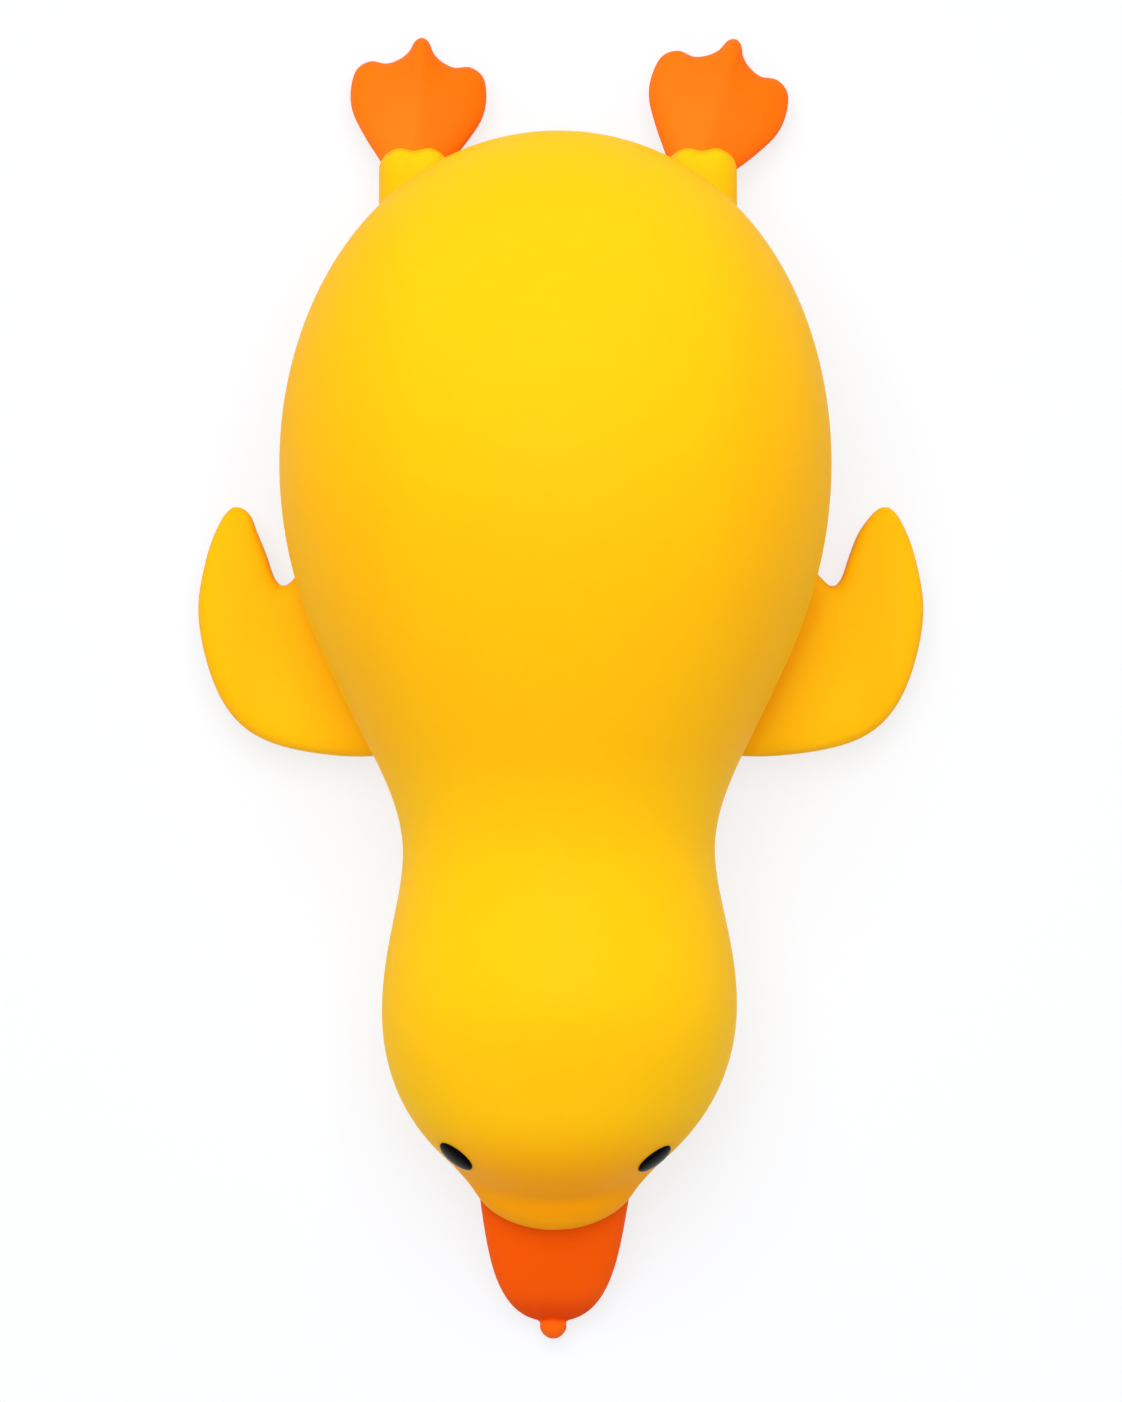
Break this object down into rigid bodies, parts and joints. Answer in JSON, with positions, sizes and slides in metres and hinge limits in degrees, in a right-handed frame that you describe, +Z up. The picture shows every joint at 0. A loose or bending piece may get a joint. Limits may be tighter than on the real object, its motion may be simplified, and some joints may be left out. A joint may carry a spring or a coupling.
{
  "type": "squishy duck",
  "caption": "Soft squishy duck lying flat on its belly, with spread wings, orange beak and webbed feet stretched out behind.",
  "frame": {"origin": "on the surface it lies on, below the middle of its overall length and wing span", "axes": "+Z up from the flat belly, +Y from the beak to the feet, +X across to its wing on the right seen from above with the feet up"},
  "size_m": [0.089, 0.1602, 0.0562],
  "materials": {
    "yellow_skin": "soft matte skin with a faint sheen",
    "orange_skin": "soft satin skin",
    "black_gloss": "gloss"
  },
  "bodies": {
    "root": {"body": "yellow_skin", "beak": "orange_skin", "foot_left": "orange_skin", "foot_right": "orange_skin", "eye_left": "black_gloss", "eye_right": "black_gloss"}
  },
  "joints": []
}
